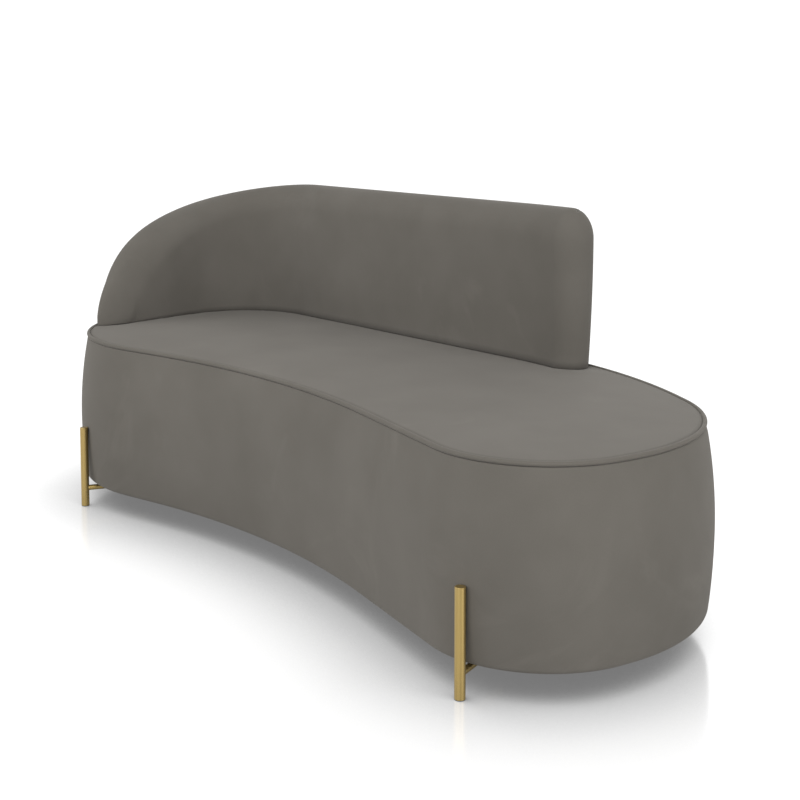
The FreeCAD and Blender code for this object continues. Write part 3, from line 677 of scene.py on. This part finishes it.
def puff(piece, work, held, rise):
    """Cloth under light air pressure on a plainer copy; its rise, scaled to mm, goes to the piece."""
    scene = bpy.context.scene
    group = work.vertex_groups.new(name="held")
    group.add([v.index for v in work.data.vertices if held(v.co)], 1.0, "REPLACE")
    cloth = work.modifiers.new("cloth", "CLOTH")
    cloth.settings.quality = 4
    cloth.settings.mass = 0.4
    cloth.settings.use_pressure = True
    cloth.settings.uniform_pressure_force = 4.0
    cloth.settings.vertex_group_mass = "held"
    cloth.settings.effector_weights.gravity = 0.0
    cloth.collision_settings.use_collision = False
    cloth.point_cache.frame_start = 1
    cloth.point_cache.frame_end = PUFF_FRAMES
    for number in range(1, PUFF_FRAMES + 1):
        scene.frame_set(number)
    shaped = work.evaluated_get(bpy.context.evaluated_depsgraph_get()).to_mesh()
    starts = [v.co.copy() for v in work.data.vertices]
    moves = [after.co - before for after, before in zip(shaped.vertices, starts)]
    scale = rise * MM / max(move.length for move in moves)
    polygons = [tuple(face.vertices) for face in work.data.polygons]
    tree = BVHTree.FromPolygons(starts, polygons)
    for vert in piece.data.vertices:
        if not held(vert.co):
            nearest, _, face, _ = tree.find_nearest(vert.co)
            corners = polygons[face]
            shares = poly_3d_calc([starts[i] for i in corners], nearest)
            for i, share in zip(corners, shares):
                vert.co += moves[i] * share * scale
    piece.data.update()
    scene.frame_set(1)


side = make_side()
seat = make_seat("seat_pad", FINE_RINGS, count=1000, step=0.018)
welt = make_welt()
back = make_back()
plain_seat = make_seat("plain_seat", PLAIN_RINGS, count=300, step=0.036)
puff(seat, plain_seat, seat_held, PUFF_RISE)
bpy.data.objects.remove(plain_seat)


# Materials
def add_node(tree, kind, values=(), **sources):
    """A shader node with some inputs set to constants and others linked."""
    node = tree.nodes.new("ShaderNode" + kind)
    for name, value in dict(values).items():
        node.inputs[name].default_value = value
    for name, socket in sources.items():
        tree.links.new(socket, node.inputs[name])
    return node


def new_material(name):
    material = bpy.data.materials.new(name)
    material.use_nodes = True
    return material, material.node_tree, material.node_tree.nodes["Principled BSDF"]


def set_inputs(shader, values):
    for name, value in values.items():
        shader.inputs[name].default_value = value


def noise_field(tree, place, scale, detail, **more):
    values = {"Scale": scale, "Detail": detail, **more}
    return add_node(tree, "TexNoise", values, Vector=place).outputs["Fac"]


def two_tones(tree, source, dark, light, low=0.0, high=1.0):
    ramp = add_node(tree, "ValToRGB", Fac=source)
    for element, position, colour in zip(ramp.color_ramp.elements, (low, high), (dark, light)):
        element.position = position
        element.color = (*colour, 1)
    return ramp.outputs["Color"]


def lighten(tree, colour, light, source, low, high, most):
    """Blend to a lighter tone, by a share of at most so much, where the source rises from low to high."""
    limits = {"From Min": low, "From Max": high, "To Max": most}
    share = add_node(tree, "MapRange", limits, Value=source).outputs["Result"]
    return add_node(tree, "MixRGB", {"Color2": (*light, 1)}, Fac=share, Color1=colour).outputs["Color"]


def set_roughness(tree, shader, source, low, high):
    spread = add_node(tree, "MapRange", {"To Min": low, "To Max": high}, Value=source)
    tree.links.new(spread.outputs["Result"], shader.inputs["Roughness"])


def set_relief(tree, shader, source, strength, distance):
    bump = add_node(tree, "Bump", {"Strength": strength, "Distance": distance}, Height=source)
    tree.links.new(bump.outputs["Normal"], shader.inputs["Normal"])


def suede(name, dark, light, relief=0.12):
    """Matte brushed fabric: cloudy nap, stroke marks, rubbed edges, a fine weave and a soft sheen."""
    material, tree, shader = new_material(name)
    place = add_node(tree, "TexCoord").outputs["Object"]
    cloud = noise_field(tree, place, scale=5.0, detail=3.0, Roughness=0.55)
    grain = noise_field(tree, place, scale=900.0, detail=2.0)
    marks = noise_field(tree, place, scale=3.4, detail=7.0, Roughness=0.62, Distortion=1.3)
    weave = noise_field(tree, place, scale=420.0, detail=4.0)
    edges = add_node(tree, "NewGeometry").outputs["Pointiness"]
    tones = two_tones(tree, cloud, dark, light, low=0.3, high=0.72)
    fleck = add_node(tree, "MixRGB", {"Fac": 0.10}, Color1=tones, Color2=grain)
    fleck.blend_type = "OVERLAY"
    stroked = [c * 1.22 for c in light]
    worn = [c * 1.3 for c in light]
    colour = lighten(tree, fleck.outputs["Color"], stroked, marks, low=0.58, high=0.80, most=0.55)
    colour = lighten(tree, colour, worn, edges, low=0.51, high=0.60, most=0.35)
    tree.links.new(colour, shader.inputs["Base Color"])
    set_relief(tree, shader, weave, strength=relief, distance=0.0006)
    set_roughness(tree, shader, cloud, low=0.84, high=0.98)
    set_inputs(shader, {"Specular IOR Level": 0.08, "Sheen Weight": 0.12, "Sheen Roughness": 0.5,
                        "Sheen Tint": (0.9, 0.87, 0.82, 1)})
    return material


def brass(name):
    """Satin gold tube: fine lengthwise brushing and slight tone change."""
    material, tree, shader = new_material(name)
    place = add_node(tree, "TexCoord").outputs["Object"]
    drawn = add_node(tree, "Mapping", {"Scale": (900, 900, 12)}, Vector=place).outputs["Vector"]
    brush = noise_field(tree, drawn, scale=1.0, detail=3.0)
    tones = two_tones(tree, brush, dark=(0.280, 0.197, 0.067), light=(0.356, 0.261, 0.101))
    tree.links.new(tones, shader.inputs["Base Color"])
    set_roughness(tree, shader, brush, low=0.30, high=0.46)
    set_relief(tree, shader, brush, strength=0.04, distance=0.0003)
    set_inputs(shader, {"Metallic": 0.85})
    return material


def plain(name, dark, light, rough, scale, metallic=0.0, stretch=(1, 1, 1)):
    """Grain or mottle between two tones, with matching relief."""
    material, tree, shader = new_material(name)
    place = add_node(tree, "TexCoord").outputs["Object"]
    drawn = add_node(tree, "Mapping", {"Scale": stretch}, Vector=place).outputs["Vector"]
    grain = noise_field(tree, drawn, scale, detail=5.0)
    tones = two_tones(tree, grain, dark, light, low=0.35, high=0.68)
    tree.links.new(tones, shader.inputs["Base Color"])
    set_relief(tree, shader, grain, strength=0.15, distance=0.0005)
    set_roughness(tree, shader, grain, low=rough - 0.05, high=rough + 0.05)
    set_inputs(shader, {"Metallic": metallic})
    return material


cover = suede("cover_suede", (0.094, 0.087, 0.076), (0.112, 0.104, 0.092))
welt_cloth = suede("welt_suede", (0.090, 0.083, 0.072), (0.107, 0.099, 0.087), 0.16)
materials = {
    "leg_metal": brass("leg_brass"),
    "plate_metal": plain("plate_black", (0.018, 0.018, 0.018), (0.035, 0.035, 0.034), 0.55, 400),
    "glide": plain("glide_plastic", (0.03, 0.03, 0.03), (0.05, 0.05, 0.05), 0.5, 300),
    "fastener": plain("zinc_steel", (0.36, 0.36, 0.35), (0.5, 0.5, 0.49), 0.38, 500, 0.9),
    "timber": plain("softwood", (0.40, 0.26, 0.13), (0.56, 0.40, 0.23), 0.7, 8, 0.0, (18, 18, 1)),
    "plywood": plain("plywood", (0.46, 0.32, 0.18), (0.60, 0.45, 0.28), 0.7, 7, 0.0, (1, 14, 14)),
    "webbing": plain("webbing_cloth", (0.10, 0.10, 0.10), (0.22, 0.22, 0.21), 0.9, 700),
    "lining": plain("lining_cloth", (0.012, 0.012, 0.012), (0.028, 0.028, 0.028), 0.95, 900),
    "cover_fabric": cover,
    "welt_fabric": welt_cloth,
}

for piece, cloth, slot in ((side, cover, "cover_fabric"), (seat, cover, "cover_fabric"),
                           (back, cover, "cover_fabric"), (welt, welt_cloth, "welt_fabric")):
    piece.data.materials.append(cloth)
    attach(piece, "root")

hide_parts("side_cover", "side_foam")
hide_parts("seat_cover", "seat_foam")
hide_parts("back_inside_cover", "back_outside_cover", "back_foam")
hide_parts("seat_welt", "seat_welt_cord")

slots = {row["node"]: row["material_slot"] for row in frame["record"]["subparts"]}
for name, node in frame["nodes"].items():
    material = materials.get(slots[name])
    if material:
        node.data.materials.clear()
        node.data.materials.append(material)


# Floor, light and camera
def bright_rays(tree):
    """The rays that see the white background: the camera's, and those off metal or through glass."""
    path = add_node(tree, "LightPath")
    seen = path.outputs["Is Camera Ray"]
    for kind in ("Is Glossy Ray", "Is Transmission Ray"):
        either = add_node(tree, "Math")
        either.operation = "MAXIMUM"
        tree.links.new(seen, either.inputs[0])
        tree.links.new(path.outputs[kind], either.inputs[1])
        seen = either.outputs["Value"]
    return seen


def mix_shaders(tree, first, second, **share):
    """Blend of two shaders by a linked or a constant share of the second."""
    mix = add_node(tree, "MixShader", **share)
    tree.links.new(first, mix.inputs[1])
    tree.links.new(second, mix.inputs[2])
    return mix


def make_floor():
    """White studio floor: for the camera it glows white, with the sofa's shadow painted into the glow from
    ambient occlusion, and a faint polish.
    """
    verts = [(-30, -30, 0), (30, -30, 0), (30, 30, 0), (-30, 30, 0)]
    floor = add_mesh("studio_floor", verts, [(0, 1, 2, 3)])
    material, tree, shader = new_material("studio_white")
    tree.nodes.remove(shader)
    bounce = add_node(tree, "BsdfDiffuse", {"Color": (0.50, 0.50, 0.50, 1)})
    # Painted shadow: ambient occlusion within 0.26 m dims the floor's camera-seen glow near and under the
    # sofa
    painted_shadow_ao = add_node(tree, "AmbientOcclusion", {"Distance": 0.26})
    painted_shadow_ao.samples = 12
    limits = {"From Min": 0.2, "From Max": 0.97, "To Min": 0.22, "To Max": 1.2}
    depth = add_node(tree, "MapRange", limits, Value=painted_shadow_ao.outputs["AO"])
    # The glow is white away from the sofa and darkened by the painted shadow close to it
    glow_with_painted_shadow = add_node(tree, "Emission", Strength=depth.outputs["Result"])
    polish = add_node(tree, "BsdfGlossy", {"Roughness": 0.16})
    bright = mix_shaders(tree, glow_with_painted_shadow.outputs["Emission"], polish.outputs["BSDF"], values={"Fac": 0.16})
    whole = mix_shaders(tree, bounce.outputs["BSDF"], bright.outputs["Shader"], Fac=bright_rays(tree))
    tree.links.new(whole.outputs["Shader"], tree.nodes["Material Output"].inputs["Surface"])
    floor.data.materials.append(material)


def make_world():
    """Even white light, with a brighter white behind the sofa."""
    world = bpy.data.worlds.new("studio_world")
    bpy.context.scene.world = world
    world.use_nodes = True
    tree = world.node_tree
    sky = tree.nodes["Background"]
    set_inputs(sky, {"Color": (1, 1, 1, 1), "Strength": 0.47})
    backdrop = add_node(tree, "Background", {"Color": (1, 1, 1, 1), "Strength": 1.2})
    lights = [node.outputs["Background"] for node in (sky, backdrop)]
    whole = mix_shaders(tree, *lights, Fac=bright_rays(tree))
    tree.links.new(whole.outputs["Shader"], tree.nodes["World Output"].inputs["Surface"])


def aim(thing, direction):
    thing.rotation_mode = "QUATERNION"
    thing.rotation_quaternion = direction.to_track_quat("-Z", "Y")


def area_light(name, place, target, size, power, spread=180):
    data = bpy.data.lights.new(name, "AREA")
    data.shape = "SQUARE"
    data.size = size
    data.energy = power
    data.spread = math.radians(spread)
    lamp = bpy.data.objects.new(name, data)
    lamp.visible_camera = False
    lamp.location = place
    aim(lamp, Vector(target) - Vector(place))
    bpy.context.scene.collection.objects.link(lamp)


def make_camera():
    data = bpy.data.cameras.new("camera")
    data.sensor_width = 36.0
    data.lens = 64.853
    data.shift_y = -0.22
    data.clip_start = 0.05
    data.clip_end = 100
    camera = bpy.data.objects.new("camera", data)
    camera.location = (2.465616, -1.932871, 1.005899)
    yaw, pitch = math.radians(50.353), math.radians(5.422)
    level = math.cos(pitch)
    aim(camera, Vector((-math.sin(yaw) * level, math.cos(yaw) * level, -math.sin(pitch))))
    bpy.context.scene.collection.objects.link(camera)
    bpy.context.scene.camera = camera


make_floor()
make_world()
area_light("key_light", (1.6, -3.7, 2.4), (0, 0, 0.4), size=4.0, power=152)
area_light("fill_light", (-3.0, -3.4, 2.2), (0, 0, 0.5), size=3.5, power=96)
area_light("right_light", (4.4, 0.5, 1.7), (-0.6, 0, 0.5), size=3.0, power=125)
area_light("back_light", (-1.5, 4.2, 3.2), (0, 0, 0.4), size=3.5, power=78)
area_light("arm_light", (1.1, -0.8, 1.6), (-0.85, 0.0, 0.54), size=0.9, power=0.8, spread=60)
make_camera()

bpy.context.scene.view_settings.view_transform = "Standard"
